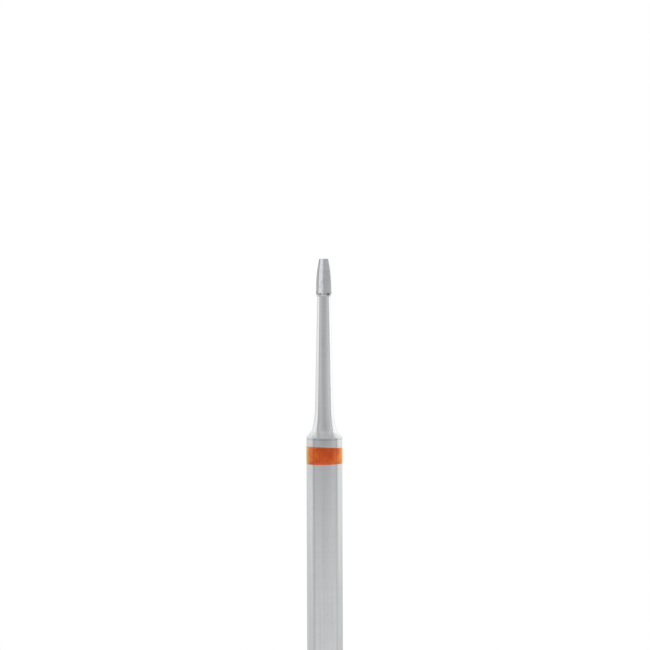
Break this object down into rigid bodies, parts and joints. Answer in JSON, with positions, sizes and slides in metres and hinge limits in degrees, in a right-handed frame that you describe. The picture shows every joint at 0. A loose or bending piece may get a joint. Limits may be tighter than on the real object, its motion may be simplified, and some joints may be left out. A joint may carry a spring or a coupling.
{
  "type": "dental bur",
  "caption": "Dental bur for a straight handpiece: an ogive fluted carbide head brazed to a slim tapered neck on a plain round shank with a painted colour band.",
  "frame": {"origin": "centre of the flat face on the shank's chuck end", "axes": "+Z along the axis from the chuck end to the cutting tip, and one cutting edge faces about -Y; the bur cuts when it turns from -Y towards +X"},
  "size_m": [0.0024, 0.0024, 0.0445],
  "materials": {
    "shank_steel": "hardened stainless steel, ground and polished, with fine turning marks",
    "head_carbide": "sintered tungsten carbide, diamond-ground blades",
    "braze_filler": "silver brazing filler, dull",
    "band_paint": "orange stoving paint, semi-gloss, with an uneven edge"
  },
  "bodies": {
    "root": {"shank": "shank_steel", "colour_band": "band_paint", "braze_joint": "braze_filler", "carbide_head": "head_carbide"}
  },
  "joints": []
}
